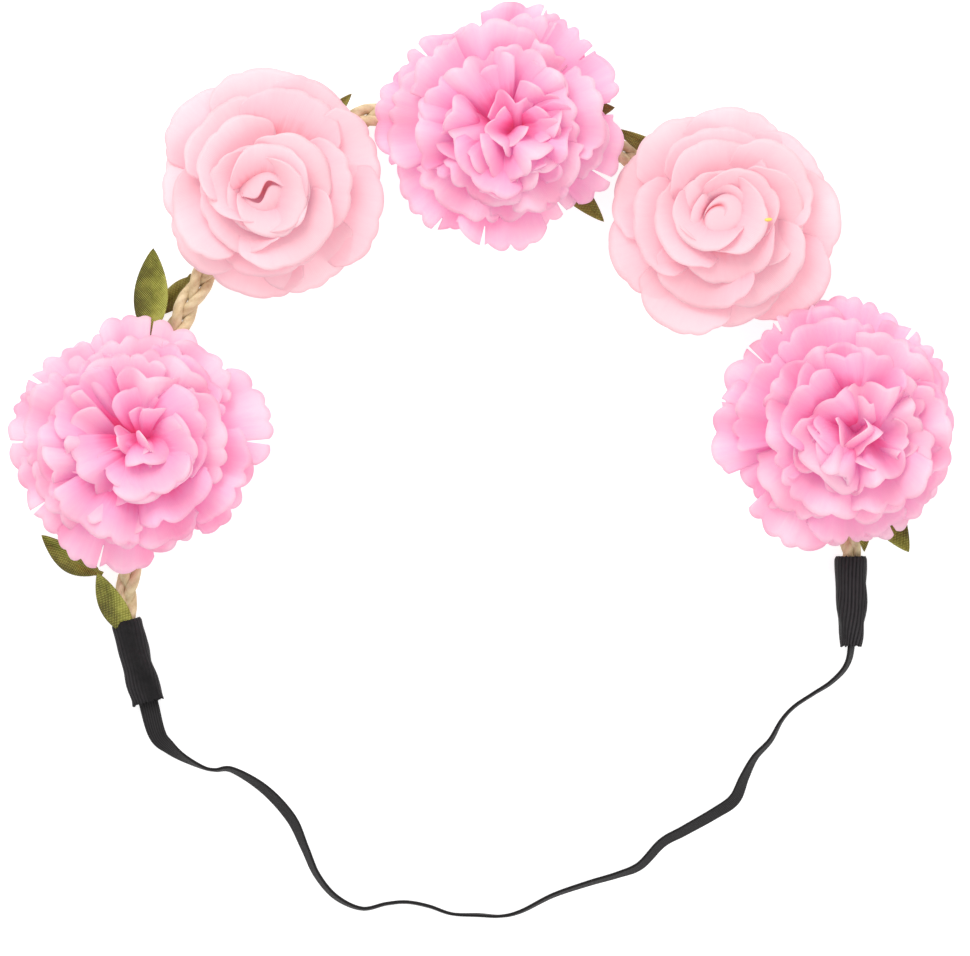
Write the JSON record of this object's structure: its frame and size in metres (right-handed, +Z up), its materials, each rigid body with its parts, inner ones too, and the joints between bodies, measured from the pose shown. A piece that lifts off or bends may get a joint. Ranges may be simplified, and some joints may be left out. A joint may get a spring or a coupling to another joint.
{
  "type": "flower crown",
  "caption": "Flower crown: ruffled and rose-shaped fabric flowers with small leaves on a three-strand braid, closed behind the head by a flat black elastic band in two ribbed sleeves.",
  "frame": {"origin": "centre of the crown's box at table level, measured without the free elastic band", "axes": "+X to the crown's right as it lies with its flowers up, +Y to the crown's front (the flower side), +Z up away from the table"},
  "size_m": [0.2252, 0.2185, 0.0288],
  "materials": {
    "carnation_cloth": "matte thin woven polyester, deep pink in the folds and paler at the rims",
    "rose_cloth": "matte thin woven polyester, pale blush with a warm shade in the folds",
    "leaf_satin": "satin ribbon with a visible weave, olive green",
    "braid_cord": "dry twisted cord, tan",
    "sleeve_wrap": "ribbed elastic wrap, black",
    "elastic": "flat ribbed elastic, black",
    "hot_glue": "hot-melt glue, cloudy and slightly yellow",
    "calyx_plastic": "moulded plastic, green"
  },
  "bodies": {
    "braid_ring": {"braid_strand_a": "braid_cord", "braid_strand_b": "braid_cord", "braid_strand_c": "braid_cord", "glue_plug_left": "hot_glue", "glue_plug_right": "hot_glue", "leaf_behind_braid": "leaf_satin", "leaf_into_sleeve": "leaf_satin", "leaf_lower_left": "leaf_satin", "sleeve_left": "sleeve_wrap", "sleeve_right": "sleeve_wrap"},
    "carnation_left": {"carnation_left_calyx": "calyx_plastic", "carnation_left_glue_collar": "hot_glue", "carnation_left_peg": "calyx_plastic", "carnation_left_petals_core": "carnation_cloth", "carnation_left_petals_outer": "carnation_cloth", "carnation_left_petals_second": "carnation_cloth", "carnation_left_petals_third": "carnation_cloth", "leaf_upper_left": "leaf_satin"},
    "rose_left": {"rose_left_bud": "rose_cloth", "rose_left_calyx": "calyx_plastic", "rose_left_glue_collar": "hot_glue", "rose_left_peg": "calyx_plastic", "rose_left_petals_inner": "rose_cloth", "rose_left_petals_outer": "rose_cloth", "rose_left_petals_second": "rose_cloth", "leaf_top_left": "leaf_satin"},
    "carnation_top": {"carnation_top_calyx": "calyx_plastic", "carnation_top_glue_collar": "hot_glue", "carnation_top_peg": "calyx_plastic", "carnation_top_petals_core": "carnation_cloth", "carnation_top_petals_outer": "carnation_cloth", "carnation_top_petals_second": "carnation_cloth", "carnation_top_petals_third": "carnation_cloth", "leaf_top_right": "leaf_satin", "leaf_inner_right": "leaf_satin"},
    "rose_right": {"rose_right_bud": "rose_cloth", "rose_right_calyx": "calyx_plastic", "rose_right_glue_collar": "hot_glue", "rose_right_peg": "calyx_plastic", "rose_right_petals_inner": "rose_cloth", "rose_right_petals_outer": "rose_cloth", "rose_right_petals_second": "rose_cloth", "leaf_over_braid": "leaf_satin"},
    "carnation_right": {"carnation_right_calyx": "calyx_plastic", "carnation_right_glue_collar": "hot_glue", "carnation_right_peg": "calyx_plastic", "carnation_right_petals_core": "carnation_cloth", "carnation_right_petals_outer": "carnation_cloth", "carnation_right_petals_second": "carnation_cloth", "carnation_right_petals_third": "carnation_cloth", "leaf_lower_right": "leaf_satin", "leaf_beside_sleeve": "leaf_satin"},
    "elastic": {"elastic_band": "elastic"}
  },
  "joints": [
    {"name": "carnation_left_turn", "type": "hinge", "parent": "braid_ring", "child": "carnation_left", "pos_m": [-0.08422, -0.02051, 0.0041], "axis": [-0.233, -0.9725, 0], "range_deg": [-10, 90]},
    {"name": "rose_left_turn", "type": "hinge", "parent": "braid_ring", "child": "rose_left", "pos_m": [-0.05211, 0.04173, 0.0041], "axis": [-0.6932, -0.7207, 0], "range_deg": [-10, 90]},
    {"name": "carnation_top_turn", "type": "hinge", "parent": "braid_ring", "child": "carnation_top", "pos_m": [0.0033, 0.05523, 0.0041], "axis": [-0.9875, 0.1578, 0], "range_deg": [-10, 90]},
    {"name": "rose_right_turn", "type": "hinge", "parent": "braid_ring", "child": "rose_right", "pos_m": [0.05675, 0.03206, 0.0041], "axis": [-0.745, 0.6671, 0], "range_deg": [-10, 90]},
    {"name": "carnation_right_turn", "type": "hinge", "parent": "braid_ring", "child": "carnation_right", "pos_m": [0.08448, -0.01725, 0.0041], "axis": [-0.2169, 0.9762, 0], "range_deg": [-10, 90]},
    {"name": "elastic_stretch", "type": "slide", "parent": "braid_ring", "child": "elastic", "axis": [0, -1, 0], "range_m": [0, 0.08], "stiffness_N_per_m": 40, "deforming": ["elastic_band"]}
  ]
}
